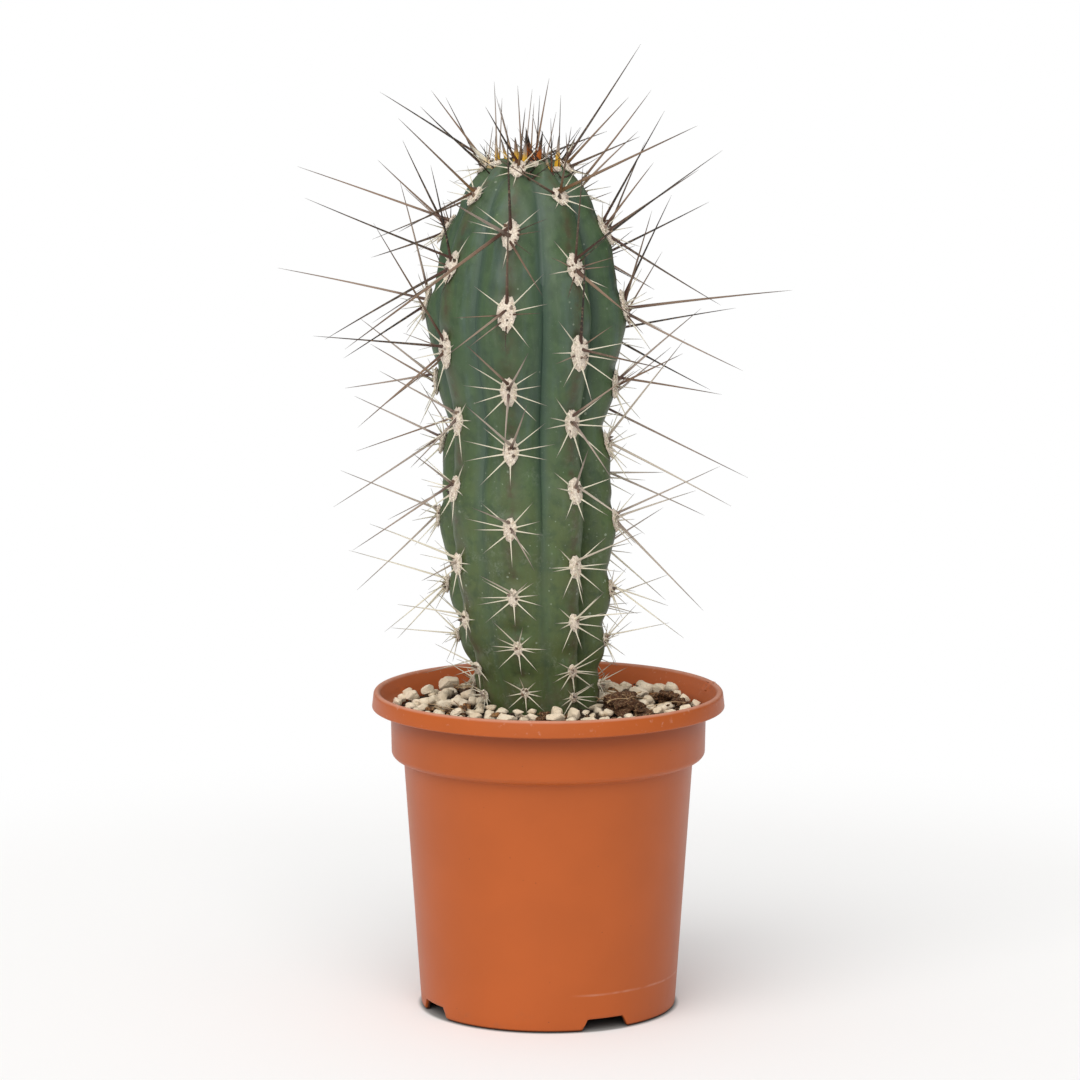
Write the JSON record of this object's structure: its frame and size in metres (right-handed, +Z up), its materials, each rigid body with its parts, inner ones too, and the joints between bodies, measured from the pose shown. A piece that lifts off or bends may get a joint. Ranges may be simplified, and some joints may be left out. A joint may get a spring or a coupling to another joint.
{
  "type": "potted tall cactus",
  "caption": "Tall ribbed columnar cactus with long spines in a terracotta-coloured plastic nursery pot, its soil dressed with pale stones and bark.",
  "frame": {"origin": "on the pot's axis, at the underside of the foot, on the surface the pot stands on", "axes": "+Z up along the pot's axis; -Y towards the side with the most open view of the stem; +X to that side's right"},
  "size_m": [0.2466, 0.1881, 0.4583],
  "materials": {
    "terracotta_plastic": "satin moulded plastic",
    "soil": "loose matte",
    "stem_skin": "waxy satin",
    "areole_and_spine": "felt and horn",
    "stone": "rough matte",
    "bark": "rough matte"
  },
  "bodies": {
    "root": {"pot": "terracotta_plastic", "soil": "soil", "cactus_stem": "stem_skin", "rib_1_areole_1": "areole_and_spine", "rib_1_areole_2": "areole_and_spine", "rib_1_areole_3": "areole_and_spine", "rib_1_areole_4": "areole_and_spine", "rib_1_areole_5": "areole_and_spine", "rib_2_areole_1": "areole_and_spine", "rib_2_areole_2": "areole_and_spine", "rib_2_areole_3": "areole_and_spine", "rib_2_areole_4": "areole_and_spine", "rib_2_areole_5": "areole_and_spine", "rib_3_areole_1": "areole_and_spine", "rib_3_areole_2": "areole_and_spine", "rib_3_areole_3": "areole_and_spine", "rib_3_areole_4": "areole_and_spine", "rib_3_areole_5": "areole_and_spine", "rib_4_areole_1": "areole_and_spine", "rib_4_areole_2": "areole_and_spine", "rib_4_areole_3": "areole_and_spine", "rib_4_areole_4": "areole_and_spine", "rib_4_areole_5": "areole_and_spine", "rib_5_areole_1": "areole_and_spine", "rib_5_areole_2": "areole_and_spine", "rib_5_areole_3": "areole_and_spine", "rib_5_areole_4": "areole_and_spine", "rib_5_areole_5": "areole_and_spine", "rib_6_areole_1": "areole_and_spine", "rib_6_areole_2": "areole_and_spine", "rib_6_areole_3": "areole_and_spine", "rib_6_areole_4": "areole_and_spine", "rib_6_areole_5": "areole_and_spine", "rib_7_areole_1": "areole_and_spine", "rib_7_areole_2": "areole_and_spine", "rib_7_areole_3": "areole_and_spine", "rib_7_areole_4": "areole_and_spine", "rib_7_areole_5": "areole_and_spine", "rib_8_areole_1": "areole_and_spine", "rib_8_areole_2": "areole_and_spine", "rib_8_areole_3": "areole_and_spine", "rib_8_areole_4": "areole_and_spine", "rib_8_areole_5": "areole_and_spine", "stone_1": "stone", "stone_2": "stone", "stone_3": "stone", "stone_4": "stone", "stone_5": "stone", "stone_6": "stone", "stone_7": "stone", "stone_8": "stone", "stone_9": "stone", "stone_10": "stone", "stone_11": "stone", "stone_12": "stone", "bark_1": "bark", "bark_2": "bark", "bark_3": "bark"}
  },
  "joints": []
}
